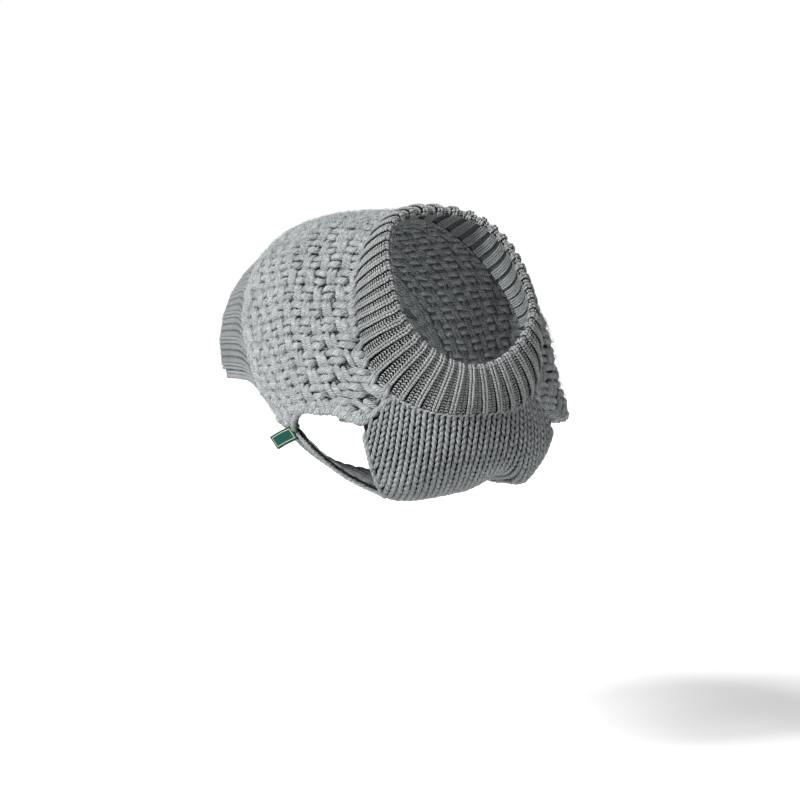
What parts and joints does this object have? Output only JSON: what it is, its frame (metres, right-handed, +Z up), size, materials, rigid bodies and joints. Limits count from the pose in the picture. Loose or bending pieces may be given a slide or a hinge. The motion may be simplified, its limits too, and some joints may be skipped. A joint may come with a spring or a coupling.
{
  "type": "dog sweater",
  "caption": "Hollow knitted dog sweater in its worn shape, with a basket-knit back, plain-knit chest, ribbed collar, ribbed rear band and two leg openings.",
  "frame": {"origin": "inside the back panel on its centre line, half way from neckline to hem, where the wearer holds the garment up", "axes": "+X the wearer's left, +Y towards the tail, +Z up"},
  "size_m": [0.1332, 0.2687, 0.1524],
  "materials": {
    "back_panel": "chunky pale grey yarn, matt and slightly fuzzy",
    "chest_panel": "pale grey yarn, matt and slightly fuzzy",
    "collar": "fine pale grey yarn, matt",
    "hem_rib": "fine pale grey yarn, matt",
    "label": "dark green woven tape"
  },
  "bodies": {
    "root": {"back_panel": "back_panel", "chest_panel": "chest_panel", "collar": "collar", "hem_rib": "hem_rib", "label": "label"}
  },
  "joints": []
}
